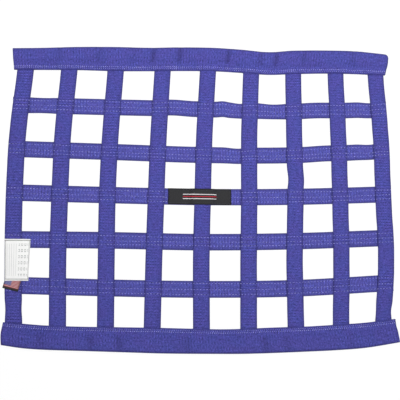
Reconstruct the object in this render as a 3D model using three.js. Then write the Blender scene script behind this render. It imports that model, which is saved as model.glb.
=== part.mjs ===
// A racing window net, lying face up on a flat surface: nine upright straps sewn over five
// cross straps, and along the top and the bottom edge a folded sleeve for the rod that holds
// the net in a window opening. A patch, a tag and a small flag tab are sewn onto the straps.
//
// Millimetres, +Z up, +Y towards the top sleeve. The origin is on the surface that the net
// lies on, under the middle of the net's box.

import * as THREE from 'three';

// Woven widths and thicknesses. The sleeves are a webbing twice as wide, folded in half.
const STRAP_WIDTH = 25.4;
const SLEEVE_WIDTH = 38;
const WEBBING = 1.4;
const LABEL_CLOTH = 1;

// The air between two layers, and how far past an edge the layer over it stays level.
const GAP = 0.3;
const PAST_EDGE = 2;

// The height of each layer's underside. The uprights lie over the cross straps and over the
// lower half of each sleeve, and the sleeves' upper half and the labels lie over the uprights.
const CROSS_LEVEL = 0;
const UPRIGHT_LEVEL = WEBBING + GAP;
const OVER_LEVEL = 2 * (WEBBING + GAP);

// An upright sags a little between two cross straps, over this distance from each edge.
const UPRIGHT_SAG = 0.9;
const SAG_REACH = 20;

// The sleeve: how far the upright ends reach in, the height of its fold, where its upper half
// starts to rise from the seam and where it is fully up, and how far that half sinks between
// two uprights.
const TUCK = 9;
const FOLD_HEIGHT = 8;
const RISE_FROM = 10;
const RISE_TO = 21;
const SEAM_DROP = 1.5;
const DROP_REACH = 8;
const FOLD_STEPS = 7;
const RISE_STEPS = 5;

// The longest step along a strap.
const UPRIGHT_STEP = 12;
const CROSS_STEP = 14;

// Where each upright's middle line runs, left or right of the net's middle, at five heights.
const UPRIGHT_HEIGHTS = { foot: -190, low: -95, middle: 0, high: 95, top: 190 };
const UPRIGHTS = [
  { foot: -285.0, low: -288.6, middle: -289.6, high: -287.3, top: -278.8 },
  { foot: -219.7, low: -221.4, middle: -220.6, high: -218.2, top: -211.1 },
  { foot: -147.7, low: -148.1, middle: -147.9, high: -144.7, top: -138.5 },
  { foot: -77.0, low: -75.4, middle: -72.8, high: -69.7, top: -64.6 },
  { foot: -2.5, low: -2.7, middle: -0.5, high: 2.1, top: 7.3 },
  { foot: 69.8, low: 70.6, middle: 72.2, high: 73.0, top: 76.5 },
  { foot: 142.5, low: 142.2, middle: 145.0, high: 144.7, top: 144.6 },
  { foot: 212.8, low: 215.7, middle: 216.0, high: 215.5, top: 213.4 },
  { foot: 279.1, low: 286.5, middle: 285.0, high: 284.1, top: 278.9 },
];

// Where each cross strap's middle line runs, up or down from the net's middle, at five places.
const CROSS_PLACES = { left: -280, leftMiddle: -140, centre: 0, rightMiddle: 140, right: 280 };
const CROSSES = [
  { left: 140.6, leftMiddle: 140.0, centre: 139.8, rightMiddle: 139.0, right: 145.3 },
  { left: 70.5, leftMiddle: 68.4, centre: 66.1, rightMiddle: 68.1, right: 77.0 },
  { left: 2.1, leftMiddle: 0.3, centre: -0.7, rightMiddle: 1.6, right: 7.1 },
  { left: -70.0, leftMiddle: -70.0, centre: -71.3, rightMiddle: -68.4, right: -62.2 },
  { left: -139.8, leftMiddle: -142.8, centre: -144.0, rightMiddle: -141.5, right: -132.9 },
];

// Small kinks where a strap was pulled by its sewing: it runs to one side, lifts off the
// surface, or is pinched narrower, over a short reach on both sides of a place along it.
const KINKS = [
  { strap: 'strap_up_1', at: -176, shift: 0, lift: 0, pinch: 1.6, reach: 18 },
  { strap: 'strap_up_7', at: 30, shift: 1.6, lift: 0, pinch: 0.6, reach: 22 },
  { strap: 'strap_up_9', at: -176, shift: -0.5, lift: 0, pinch: 1.8, reach: 16 },
  { strap: 'strap_cross_1', at: -250, shift: 0, lift: 0, pinch: 1.4, reach: 30 },
  { strap: 'strap_cross_1', at: -48, shift: 1.7, lift: 0, pinch: 0, reach: 36 },
  { strap: 'strap_cross_1', at: 31, shift: 0.8, lift: 1.6, pinch: 0, reach: 12 },
  { strap: 'strap_cross_1', at: 60, shift: -1.3, lift: 0, pinch: 1.6, reach: 24 },
  { strap: 'strap_cross_1', at: 112, shift: -0.9, lift: 0, pinch: 1.7, reach: 30 },
  { strap: 'strap_cross_1', at: 182, shift: 1.3, lift: 0, pinch: 0, reach: 45 },
  { strap: 'strap_cross_1', at: 268, shift: -1.6, lift: 0, pinch: 0.8, reach: 24 },
  { strap: 'strap_cross_2', at: 55, shift: -1.3, lift: 0, pinch: 1.2, reach: 26 },
  { strap: 'strap_cross_2', at: 192, shift: 0.9, lift: 0, pinch: 0, reach: 40 },
  { strap: 'strap_cross_2', at: 264, shift: -1.0, lift: 0, pinch: 1.2, reach: 22 },
];

// The sleeves: the side of the net that each fold faces, the run of its two long edges, where
// its ends are cut at the seam edge, halfway and at the fold, and how round its fold corner is
// at the right end.
const SLEEVES = [
  {
    name: 'sleeve_top',
    outward: 1,
    edges: [
      { at: -298, seam: 197.2, fold: 231.1 },
      { at: -254, seam: 198.0, fold: 232.7 },
      { at: -200, seam: 199.1, fold: 235.6 },
      { at: -140, seam: 198.9, fold: 237.2 },
      { at: -85, seam: 200.1, fold: 237.3 },
      { at: -40, seam: 201.5, fold: 239.2 },
      { at: 15, seam: 202.4, fold: 239.9 },
      { at: 60, seam: 200.9, fold: 238.1 },
      { at: 105, seam: 198.7, fold: 235.1 },
      { at: 145, seam: 200.9, fold: 238.6 },
      { at: 200, seam: 203.1, fold: 240.3 },
      { at: 245, seam: 203.2, fold: 240.2 },
      { at: 280, seam: 202.4, fold: 237.6 },
      { at: 299, seam: 202.1, fold: 235.8 },
    ],
    leftEnd: { seam: -296.0, halfway: -297.6, fold: -298.9 },
    rightEnd: { seam: 293.9, halfway: 297.2, fold: 299.0 },
    corner: 5,
  },
  {
    name: 'sleeve_bottom',
    outward: -1,
    edges: [
      { at: -302, seam: -195.2, fold: -229.2 },
      { at: -270, seam: -197.6, fold: -233.8 },
      { at: -235, seam: -200.1, fold: -236.1 },
      { at: -180, seam: -201.7, fold: -237.7 },
      { at: -120, seam: -202.3, fold: -239.5 },
      { at: -60, seam: -203.1, fold: -241.2 },
      { at: 20, seam: -204.8, fold: -241.7 },
      { at: 60, seam: -204.1, fold: -241.6 },
      { at: 105, seam: -202.0, fold: -240.3 },
      { at: 160, seam: -200.1, fold: -238.0 },
      { at: 200, seam: -197.6, fold: -236.1 },
      { at: 250, seam: -194.0, fold: -232.2 },
      { at: 302, seam: -187.4, fold: -223.9 },
    ],
    leftEnd: { seam: -300.3, halfway: -302.8, fold: -302.1 },
    rightEnd: { seam: 297.5, halfway: 299.8, fold: 303.0 },
    corner: 0,
  },
];

// The labels: a patch over the middle crossing, a tag along the left upright that stands out
// over the opening beside it, and a flag tab, turned, whose upper end is under the tag.
const PATCH = { name: 'centre_patch', width: 98, length: 25.2, x: -5.2, y: -0.5, turn: -0.3 };
const TAG = { name: 'side_tag', width: 36.8, length: 63.8, x: -282.2, y: -101.4, turn: 0.4 };
const TAB = { name: 'flag_tab', width: 24, length: 25, x: -288.2, y: -134.8, turn: -14 };
const PATCH_REACH = 10;
const TAB_TOP = -118;
const TAG_RAMP = 22;
const TAG_DROOP = 0.9;

const webbingBlue = { color: '#4a4b9f', roughness: 0.85, metalness: 0 };
const materials = {
  upright: new THREE.MeshStandardMaterial(webbingBlue),
  cross: new THREE.MeshStandardMaterial({ ...webbingBlue, color: '#5153a6' }),
  sleeve: new THREE.MeshStandardMaterial({ ...webbingBlue, color: '#494c9e' }),
  patch: new THREE.MeshStandardMaterial({ color: '#17171a', roughness: 0.8, metalness: 0 }),
  tag: new THREE.MeshStandardMaterial({ color: '#ececec', roughness: 0.6, metalness: 0 }),
  tab: new THREE.MeshStandardMaterial({ color: '#a5434f', roughness: 0.7, metalness: 0 }),
};

const { lerp, smoothstep, degToRad } = THREE.MathUtils;

// A smooth line through points of one place and one value each, in the order of their places.
function smoothLine(places, values) {
  const last = places.length - 1;
  const slopes = places.map((_, i) => {
    const before = Math.max(i - 1, 0);
    const after = Math.min(i + 1, last);
    return (values[after] - values[before]) / (places[after] - places[before]);
  });
  return (place) => {
    let i = 0;
    while (i < last - 1 && place > places[i + 1]) {
      i += 1;
    }
    const span = places[i + 1] - places[i];
    const t = (place - places[i]) / span;
    const rest = 1 - t;
    return rest * rest * ((1 + 2 * t) * values[i] + t * span * slopes[i])
      + t * t * ((3 - 2 * t) * values[i + 1] - rest * span * slopes[i + 1]);
  };
}

// A strap's kinks added up at one place along it.
function kinkAt(strap, place, column) {
  let sum = 0;
  for (const kink of KINKS.filter((row) => row.strap === strap)) {
    const away = Math.min(Math.abs(place - kink.at) / kink.reach, 1);
    sum += kink[column] * (1 + Math.cos(Math.PI * away)) / 2;
  }
  return sum;
}

// A strap's middle line, kinks included.
function strapLine(name, places, row) {
  const line = smoothLine(Object.values(places), Object.values(row));
  return (place) => line(place) + kinkAt(name, place, 'shift');
}

const uprights = UPRIGHTS.map((row, i) => {
  const name = `strap_up_${i + 1}`;
  return { name, line: strapLine(name, UPRIGHT_HEIGHTS, row) };
});
const crosses = CROSSES.map((row, i) => {
  const name = `strap_cross_${i + 1}`;
  return { name, line: strapLine(name, CROSS_PLACES, row) };
});
const sleeves = SLEEVES.map((sleeve) => {
  const places = sleeve.edges.map((row) => row.at);
  const seam = smoothLine(places, sleeve.edges.map((row) => row.seam));
  const fold = smoothLine(places, sleeve.edges.map((row) => row.fold));
  return { ...sleeve, seam, fold };
});
const [topSleeve, bottomSleeve] = sleeves;

// Moves every vertex of a geometry to the point that place gives for it.
function bend(geometry, place) {
  const position = geometry.getAttribute('position');
  const point = new THREE.Vector3();
  for (let i = 0; i < position.count; i += 1) {
    point.fromBufferAttribute(position, i);
    point.set(...place(point.x, point.y, point.z));
    position.setXYZ(i, point.x, point.y, point.z);
  }
  geometry.computeVertexNormals();
  return geometry;
}

function namedMesh(name, geometry, material) {
  const mesh = new THREE.Mesh(geometry, material);
  mesh.name = name;
  return mesh;
}

// A strip of cloth: place is called with a point's distance across it from its middle, its
// share of the way along it, and its height in the cloth.
function strip(width, thickness, acrossSteps, alongSteps, place) {
  const geometry = new THREE.BoxGeometry(width, 1, thickness, acrossSteps, alongSteps, 1);
  geometry.translate(0, 0.5, thickness / 2);
  return bend(geometry, place);
}

// How much an upright sags at a point: nothing over a cross strap or a sleeve.
function sagAt(x, y) {
  const toCrosses = crosses.map(({ line }) => Math.abs(y - line(x)) - STRAP_WIDTH / 2);
  const toSleeves = [topSleeve.seam(x) - y, y - bottomSleeve.seam(x)];
  const toNearest = Math.min(...toCrosses, ...toSleeves);
  return UPRIGHT_SAG * smoothstep(toNearest, PAST_EDGE, SAG_REACH);
}

// An upright runs from the bottom sleeve to the top one, with its ends between their layers.
function makeUpright({ name, line }) {
  const foot = bottomSleeve.seam(line(bottomSleeve.seam(0))) - TUCK;
  const head = topSleeve.seam(line(topSleeve.seam(0))) + TUCK;
  const steps = Math.ceil((head - foot) / UPRIGHT_STEP);
  const geometry = strip(STRAP_WIDTH, WEBBING, 1, steps, (across, along, up) => {
    const y = lerp(foot, head, along);
    const width = 1 - kinkAt(name, y, 'pinch') / STRAP_WIDTH;
    const middle = line(y);
    return [middle + across * width, y, UPRIGHT_LEVEL + up - sagAt(middle, y)];
  });
  return namedMesh(name, geometry, materials.upright);
}

// A cross strap lies on the surface, its ends flush with the two outer uprights' edges.
function makeCross({ name, line }) {
  const { left: leftPlace, right: rightPlace } = CROSS_PLACES;
  const left = uprights.at(0).line(line(leftPlace)) - STRAP_WIDTH / 2;
  const right = uprights.at(-1).line(line(rightPlace)) + STRAP_WIDTH / 2;
  const steps = Math.ceil((right - left) / CROSS_STEP);
  const geometry = strip(STRAP_WIDTH, WEBBING, 1, steps, (across, along, up) => {
    const x = lerp(left, right, along);
    const width = 1 - kinkAt(name, x, 'pinch') / STRAP_WIDTH;
    return [x, line(x) - across * width, CROSS_LEVEL + up + kinkAt(name, x, 'lift')];
  });
  return namedMesh(name, geometry, materials.cross);
}

// One face of the folded cloth in section, from the lower seam edge round the fold to the
// upper seam edge, set in from the outer face by inset.
function sleeveFace(inset) {
  const radius = FOLD_HEIGHT / 2;
  const face = [new THREE.Vector2(0, inset)];
  for (let i = 0; i <= FOLD_STEPS; i += 1) {
    const angle = Math.PI * (i / FOLD_STEPS - 1 / 2);
    const out = SLEEVE_WIDTH - radius + (radius - inset) * Math.cos(angle);
    face.push(new THREE.Vector2(out, radius + (radius - inset) * Math.sin(angle)));
  }
  const seamTop = OVER_LEVEL + WEBBING;
  for (let i = 0; i <= RISE_STEPS; i += 1) {
    const out = lerp(RISE_TO, RISE_FROM, i / RISE_STEPS);
    const rise = (FOLD_HEIGHT - seamTop) * smoothstep(out, RISE_FROM, RISE_TO);
    face.push(new THREE.Vector2(out, seamTop + rise - inset));
  }
  face.push(new THREE.Vector2(0, seamTop - inset));
  return face;
}

// How far the sleeve's upper half sinks at a point: nothing over an upright, and most halfway
// between two, near the seam only.
function seamDropAt(sleeve, x, out) {
  const toNearest = Math.min(...uprights.map(({ line }) => Math.abs(x - line(sleeve.seam(x)))));
  const edge = STRAP_WIDTH / 2 + PAST_EDGE;
  return SEAM_DROP * smoothstep(toNearest, edge, edge + DROP_REACH)
    * (1 - smoothstep(out, RISE_FROM, RISE_TO));
}

// The places along a sleeve where its section is set: on both sides of each upright, where
// the upper half is still level and where it is down, and close together round the corner.
function sleeveStations(sleeve) {
  const { seam, leftEnd, rightEnd, corner } = sleeve;
  const edge = STRAP_WIDTH / 2 + PAST_EDGE;
  const offsets = [-edge - DROP_REACH, -edge, edge, edge + DROP_REACH];
  const besideUprights = uprights.flatMap(({ line }) => {
    const middle = line(seam(line(0)));
    return offsets.map((offset) => middle + offset);
  });
  const left = leftEnd.seam;
  const right = rightEnd.seam;
  const inside = besideUprights.filter((x) => x > left + PAST_EDGE && x < right - corner - PAST_EDGE);
  const rounding = [1, 0.5, 0.2, 0.05].map((share) => right - corner * share);
  return [left, ...inside, ...(corner > 0 ? rounding : []), right];
}

// How far the fold draws in towards the seam near the right end, to make its round corner.
function cornerCut(sleeve, x) {
  const { corner, rightEnd } = sleeve;
  const into = corner - (rightEnd.seam - x);
  return into > 0 ? corner - Math.sqrt(corner * corner - into * into) : 0;
}

// A sleeve is one webbing, folded along its middle away from the net. Its two edges meet over
// the uprights' ends, and the space inside the fold is open at both ends.
function makeSleeve(sleeve) {
  const { name, outward, seam, fold, leftEnd, rightEnd } = sleeve;
  const section = new THREE.Shape([...sleeveFace(0), ...sleeveFace(WEBBING).reverse()]);
  const stations = sleeveStations(sleeve);
  if (outward < 0) {
    stations.reverse();
  }
  const steps = stations.length - 1;
  const shares = [0, 0.5, 1];
  const endOffset = (end) => smoothLine(shares, [0, end.halfway - end.seam, end.fold - end.seam]);
  const leftOffset = endOffset(leftEnd);
  const rightOffset = endOffset(rightEnd);
  const geometry = new THREE.ExtrudeGeometry(section, { depth: steps, steps, bevelEnabled: false });
  bend(geometry, (out, up, station) => {
    const place = stations[Math.round(station)];
    const share = out / SLEEVE_WIDTH;
    const along = (place - leftEnd.seam) / (rightEnd.seam - leftEnd.seam);
    const x = place + lerp(leftOffset(share), rightOffset(share), along);
    const foldY = fold(x) - outward * cornerCut(sleeve, place);
    const drop = up > UPRIGHT_LEVEL ? seamDropAt(sleeve, x, out) : 0;
    return [x, lerp(seam(x), foldY, share), up - drop];
  });
  return namedMesh(name, geometry, materials.sleeve);
}

// A label lies turned about its middle, at the height that its level gives for each point.
function makeLabel({ name, width, length, x, y, turn }, acrossSteps, alongSteps, material, level) {
  const angle = degToRad(turn);
  const geometry = strip(width, LABEL_CLOTH, acrossSteps, alongSteps, (across, along, up) => {
    const point = new THREE.Vector2(across, (along - 0.5) * length);
    point.rotateAround(new THREE.Vector2(), angle);
    return [x + point.x, y + point.y, up + level(x + point.x, y + point.y)];
  });
  return namedMesh(name, geometry, material);
}

// The patch rides over the middle upright and comes down to the cross strap on both sides.
function patchLevel(x, y) {
  const toEdge = Math.abs(x - uprights[4].line(y)) - STRAP_WIDTH / 2;
  return lerp(OVER_LEVEL, UPRIGHT_LEVEL, smoothstep(toEdge, PAST_EDGE, PATCH_REACH));
}

// The tag lies on the left upright, rises over the flag tab, and droops over the opening.
function tagLevel(x, y) {
  const overTab = (LABEL_CLOTH + GAP) * (1 - smoothstep(y, TAB_TOP, TAB_TOP + TAG_RAMP));
  const strapEdge = uprights[0].line(y) + STRAP_WIDTH / 2;
  const droop = TAG_DROOP * smoothstep(x, strapEdge + PAST_EDGE, TAG.x + TAG.width / 2);
  return OVER_LEVEL + overTab - droop;
}

const net = new THREE.Group();
net.add(...crosses.map(makeCross));
net.add(...uprights.map(makeUpright));
net.add(...sleeves.map(makeSleeve));
net.add(makeLabel(PATCH, 18, 1, materials.patch, patchLevel));
net.add(makeLabel(TAB, 1, 1, materials.tab, () => OVER_LEVEL));
net.add(makeLabel(TAG, 6, 10, materials.tag, tagLevel));

// The small shift that puts the origin exactly under the middle of the net's box.
const middle = new THREE.Box3().setFromObject(net).getCenter(new THREE.Vector3());
net.position.set(-middle.x, -middle.y, 0);

export default net;
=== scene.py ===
import bisect
import functools
import math

import bpy
from mathutils import Matrix, Vector


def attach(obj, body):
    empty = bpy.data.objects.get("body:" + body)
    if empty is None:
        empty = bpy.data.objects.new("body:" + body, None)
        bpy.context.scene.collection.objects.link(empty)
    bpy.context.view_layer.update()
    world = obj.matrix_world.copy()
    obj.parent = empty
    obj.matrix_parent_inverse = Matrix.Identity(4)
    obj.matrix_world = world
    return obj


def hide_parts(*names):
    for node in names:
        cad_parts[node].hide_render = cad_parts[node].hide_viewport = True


# The net
# A racing window net of polyester webbing, sewn together, as it lies face up on a table. Every
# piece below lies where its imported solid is. The places are measured from close to the net's
# middle, and NET_MIDDLE is added to each, which centres the net's box on the origin.
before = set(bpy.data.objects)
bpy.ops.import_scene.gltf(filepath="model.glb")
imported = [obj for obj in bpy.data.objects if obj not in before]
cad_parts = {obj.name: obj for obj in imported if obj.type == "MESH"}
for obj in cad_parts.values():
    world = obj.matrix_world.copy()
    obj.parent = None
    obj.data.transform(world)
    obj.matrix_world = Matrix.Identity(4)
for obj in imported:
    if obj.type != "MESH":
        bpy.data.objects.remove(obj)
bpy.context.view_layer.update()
NET_MIDDLE = Vector((-0.000058, 0.000617, 0.0))

# Camera
# It looks down at the net a little from below its bottom edge and from its left, from about
# one and a half metres, so that the net nearly fills the picture's width.
TILT = math.radians(9.66)
PAN = math.radians(-4.60)
DISTANCE = 1.5532
AIM = Vector((-0.00461, -0.00466, 0.0))
LENS = 90
SENSOR = 36


def add_object(name, data):
    """A new object in the scene, made from its mesh, its camera or its light."""
    thing = bpy.data.objects.new(name, data)
    bpy.context.scene.collection.objects.link(thing)
    return thing


back = Vector((math.sin(PAN) * math.cos(TILT), -math.sin(TILT), math.cos(PAN) * math.cos(TILT)))
across_view = Vector((0, 1, 0)).cross(back).normalized()
view_axes = Matrix((across_view, back.cross(across_view), back)).transposed()
camera = add_object("camera", bpy.data.cameras.new("camera"))
camera.data.lens = LENS
camera.data.sensor_width = SENSOR
camera.location = AIM + back * DISTANCE
camera.rotation_mode = "QUATERNION"
camera.rotation_quaternion = view_axes.to_quaternion()
bpy.context.scene.camera = camera

# Cross straps
# Five lengths of one inch webbing that lie on the table from side to side of the net, under
# the uprights. Each is a flat woven strip with rounded selvedges. Its middle line wanders a
# little, and where the sewing pulled it, it is kinked, lifted or pinched narrower.
STRAP_WIDTH = 0.0254
WEBBING = 0.0014
GAP = 0.0003
CROSS_STEP = 0.0021

# Each strap's middle line, from its places along it. The cross straps run from left to right,
# and the uprights, which their ends and their shading follow, from the bottom to the top.
CROSS_PLACES = [-0.280, -0.140, 0.0, 0.140, 0.280]
CROSSES = [
    [0.1406, 0.1400, 0.1398, 0.1390, 0.1453],
    [0.0705, 0.0684, 0.0661, 0.0681, 0.0770],
    [0.0021, 0.0003, -0.0007, 0.0016, 0.0071],
    [-0.0700, -0.0700, -0.0713, -0.0684, -0.0622],
    [-0.1398, -0.1428, -0.1440, -0.1415, -0.1329],
]
UPRIGHT_PLACES = [-0.190, -0.095, 0.0, 0.095, 0.190]
UPRIGHTS = [
    [-0.2850, -0.2886, -0.2896, -0.2873, -0.2788],
    [-0.2197, -0.2214, -0.2206, -0.2182, -0.2111],
    [-0.1477, -0.1481, -0.1479, -0.1447, -0.1385],
    [-0.0770, -0.0754, -0.0728, -0.0697, -0.0646],
    [-0.0025, -0.0027, -0.0005, 0.0021, 0.0073],
    [0.0698, 0.0706, 0.0722, 0.0730, 0.0765],
    [0.1425, 0.1422, 0.1450, 0.1447, 0.1446],
    [0.2128, 0.2157, 0.2160, 0.2155, 0.2134],
    [0.2791, 0.2865, 0.2850, 0.2841, 0.2789],
]

# Kinks: where along the strap, how far its line shifts sideways, how far it lifts, how much
# narrower it gets, and how far it reaches each way. The three names are columns of the table.
SHIFT, LIFT, PINCH = 1, 2, 3
KINKS = {
    "up_1": [(-0.176, 0, 0, 0.0016, 0.018)],
    "up_7": [(0.030, 0.0016, 0, 0.0006, 0.022)],
    "up_9": [(-0.176, -0.0005, 0, 0.0018, 0.016)],
    "cross_1": [
        (-0.250, 0, 0, 0.0014, 0.030),
        (-0.048, 0.0017, 0, 0, 0.036),
        (0.031, 0.0008, 0.0016, 0, 0.012),
        (0.060, -0.0013, 0, 0.0016, 0.024),
        (0.112, -0.0009, 0, 0.0017, 0.030),
        (0.182, 0.0013, 0, 0, 0.045),
        (0.268, -0.0016, 0, 0.0008, 0.024),
    ],
    "cross_2": [
        (0.055, -0.0013, 0, 0.0012, 0.026),
        (0.192, 0.0009, 0, 0, 0.040),
        (0.264, -0.0010, 0, 0.0012, 0.022),
    ],
}

# A selvedge in section: how far in from the edge, and how far up through the cloth. It stands out
# a hair past the strap's own width. Shade is painted on the cloth there, where the selvedge turns
# down: darkest up to the first distance of RIM in from the edge, and with its full colour from the
# second one on.
SELVEDGE = [(0.0, 0.5), (0.00012, 0.78), (0.0004, 0.95), (0.0009, 1.0)]
SELVEDGE_PROUD = 0.00025
RIM = (0.0011, 0.0030)
# RIM_SHADE is how light the cloth stays where that painted shade is darkest.
RIM_SHADE = 0.36

# The three rows of sewing along each cross strap, up from its middle line. They wander a
# little, each in its own way, and each row's thread pulls a groove into the cloth.
SEWING_ROWS = [
    [0.0080, 0.0000, -0.0066],
    [0.0075, -0.0010, -0.0062],
    [0.0070, -0.0010, -0.0078],
    [0.0068, -0.0003, -0.0060],
    [0.0087, -0.0004, -0.0080],
]
ROW_WANDER = 0.0004
ROW_WAVE = 0.037
STRAP_OFFSET = 2.1
ROW_OFFSET = 1.3
GROOVE = 0.00025
GROOVE_REACH = 0.0008
GROOVE_SECTION = (-1.6, -0.8, 0, 0.8, 1.6)

# Between two uprights a cross strap is a little cupped, and shade is painted on it close to their
# edges.
FREE_FROM = 0.002
FREE_TO = 0.012
CUP = 0.0003
CONTACT_SHADE = 0.45
CONTACT_REACH = 0.0015
CONTACT_STEPS = (-0.2, 0.1, 0.4, 0.7, 1.0)

# The ribs in a metre of strap, along and across, and the light dashes of these straps: their
# spacing along and across, and how light they are. Each strap is cut from another place on the
# roll, so that no two have the same weave.
STRAP_RIBS = (480.0, 200.0)
CROSS_DASH = (0.0045, 0.0036, 0.23)
CROSS_CUT = 0.37


def smooth_line(places, values):
    """A smooth line through points of one place and one value each."""
    last = len(places) - 1
    slopes = []
    for i in range(last + 1):
        before = max(i - 1, 0)
        after = min(i + 1, last)
        slopes.append((values[after] - values[before]) / (places[after] - places[before]))

    def value_at(place):
        i = min(max(bisect.bisect_left(places, place) - 1, 0), last - 1)
        span = places[i + 1] - places[i]
        t = (place - places[i]) / span
        rest = 1 - t
        near = (1 + 2 * t) * values[i] + t * span * slopes[i]
        far = (3 - 2 * t) * values[i + 1] - rest * span * slopes[i + 1]
        return rest * rest * near + t * t * far

    return value_at


def smoothstep(value, low, high):
    t = min(max((value - low) / (high - low), 0), 1)
    return t * t * (3 - 2 * t)


def lerp(a, b, t):
    return a + (b - a) * t


def kink_at(strap, place, column):
    """A strap's kinks added up at one place along it."""
    total = 0
    for kink in KINKS.get(strap, []):
        at, reach = kink[0], kink[-1]
        away = min(abs(place - at) / reach, 1)
        total += kink[column] * (1 + math.cos(math.pi * away)) / 2
    return total


def strap_line(strap, places, values):
    """A strap's middle line, kinks included."""
    line = smooth_line(places, values)
    return lambda place: line(place) + kink_at(strap, place, SHIFT)


def upright_near(x, y):
    """How far a point is from the nearest upright's edge, below zero under the upright."""
    return min(abs(x - line(y)) for line in upright_lines) - STRAP_WIDTH / 2


def row_at(j, n, x):
    """Where row of sewing n of cross strap j is, up from the strap's middle line."""
    wander = math.sin(x / ROW_WAVE + STRAP_OFFSET * j + ROW_OFFSET * n)
    return SEWING_ROWS[j][n] + ROW_WANDER * wander


def groove_at(j, x, across):
    """How deep the sewing along cross strap j pulls the cloth in, at a point on the strap."""
    away = min(abs(across - row_at(j, n, x)) for n in range(3))
    return GROOVE * math.exp(-((away / GROOVE_REACH) ** 2))


def cross_point(j, x, across, share):
    """A point of cross strap j: across it from its middle, and a share of its thickness up."""
    strap = f"cross_{j + 1}"
    middle = cross_lines[j](x)
    free = smoothstep(upright_near(x, middle), FREE_FROM, FREE_TO)
    narrow = 1 - kink_at(strap, x, PINCH) / STRAP_WIDTH
    cup = CUP * free * (1 - (2 * across / STRAP_WIDTH) ** 2)
    z = WEBBING * share + (1 - 2 * share) * groove_at(j, x, across) + cup
    z += kink_at(strap, x, LIFT)
    return Vector((x, middle + across * narrow, z))


def webbing_ring(width, inner_places):
    """A webbing's section as pairs, from one edge over the top to the other and back below:
    the place across it from its middle, and the share of its thickness."""
    half = width / 2
    top = [(half - inset, share) for inset, share in SELVEDGE]
    top += [(place, 1.0) for place in sorted(inner_places, reverse=True)]
    top += [(inset - half, share) for inset, share in reversed(SELVEDGE)]
    under = [(place, 1 - share) for place, share in reversed(top)]
    return top + under[1:-1]


def cross_ring(j, x):
    """Cross strap j's section, with places close together where its grooves are."""
    rows = [row_at(j, n, x) for n in range(3)]
    grooves = [row + side * GROOVE_REACH for row in rows for side in GROOVE_SECTION]
    return webbing_ring(STRAP_WIDTH + 2 * SELVEDGE_PROUD, grooves)


def rim_shade(inset, deepest=RIM_SHADE):
    """How much painted shade darkens a webbing near its edge, where its selvedge turns down."""
    return lerp(deepest, 1, smoothstep(inset, *RIM))


def strap_ring(section, point_at, shade):
    """A strap's section in its place, as woven_mesh takes it, with painted shade near its edges.
    """
    ring = []
    for across, share in section:
        edge_shade = rim_shade(STRAP_WIDTH / 2 - abs(across))
        ring.append((point_at(across, share), across, shade * edge_shade))
    return ring


def cross_stations(j, left, right):
    """The places along cross strap j where its section is set, close together beside the
    uprights' edges."""
    count = round((right - left) / CROSS_STEP)
    stations = [lerp(left, right, i / count) for i in range(count + 1)]
    for line in upright_lines:
        middle = line(cross_lines[j](line(0)))
        for share in CONTACT_STEPS:
            away = STRAP_WIDTH / 2 + share * CONTACT_REACH
            stations += [place for place in (middle - away, middle + away) if left < place < right]
    return sorted(stations)


def woven_mesh(name, rings, unrolled):
    """A closed strip of cloth. Each ring is a list of (point, place across, shade), and
    unrolled is how far along the cloth each ring is. The places go to the UV map cloth, in
    metres, and the shades to the attribute shade."""
    count = len(rings[0])
    points = [entry[0] + NET_MIDDLE for ring in rings for entry in ring]
    faces = []
    for i in range(len(rings) - 1):
        start = i * count
        for k in range(count):
            after = (k + 1) % count
            faces.append([start + k, start + after, start + count + after, start + count + k])
    closing = [
        list(dict.fromkeys([k, k + 1, (count - k - 1) % count, (count - k) % count]))
        for k in range(count // 2)
    ]
    faces += [list(reversed(face)) for face in closing]
    last = (len(rings) - 1) * count
    faces += [[last + k for k in face] for face in closing]
    mesh = bpy.data.meshes.new(name)
    mesh.from_pydata(points, [], faces)
    across = [entry[1] for ring in rings for entry in ring]
    corners = [k for face in faces for k in face]
    places = [value for k in corners for value in (unrolled[k // count], across[k])]
    mesh.uv_layers.new(name="cloth").data.foreach_set("uv", places)
    shade = mesh.attributes.new("shade", "FLOAT", "POINT")
    shade.data.foreach_set("value", [entry[2] for ring in rings for entry in ring])
    ends = 2 * len(closing)
    mesh.polygons.foreach_set("use_smooth", [True] * (len(faces) - ends) + [False] * ends)
    mesh.update()
    return add_object(name, mesh)


class Socket:
    """A node's output. Python's own signs on it add Math nodes to the same tree."""

    def __init__(self, graph, output):
        self.graph = graph
        self.output = output

    def beside(self, name):
        """Another output of the same node."""
        return Socket(self.graph, self.output.node.outputs[name])

    def math(self, operation, *others):
        values = dict(enumerate((self, *others)))
        return self.graph.node("ShaderNodeMath", {"operation": operation}, values)

    def wave(self, operation="SINE"):
        """A sine or a cosine of it, one wave for each whole number."""
        return (self * math.tau).math(operation)

    def off_middle(self, pitch):
        """How far a place is from the middle of its step, as a share of the steps' pitch."""
        return abs(((self / pitch) % 1) - 0.5)

    def __add__(self, other):
        return self.math("ADD", other)

    __radd__ = __add__

    def __mul__(self, other):
        return self.math("MULTIPLY", other)

    __rmul__ = __mul__

    def __sub__(self, other):
        return self.math("SUBTRACT", other)

    def __rsub__(self, other):
        return self.graph.node("ShaderNodeMath", {"operation": "SUBTRACT"}, {0: other, 1: self})

    def __truediv__(self, other):
        return self.math("DIVIDE", other)

    def __mod__(self, other):
        return self.math("FLOORED_MODULO", other)

    def __abs__(self):
        return self.math("ABSOLUTE")

    def __lt__(self, other):
        return self.math("LESS_THAN", other)

    def __gt__(self, other):
        return self.math("GREATER_THAN", other)


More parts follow.
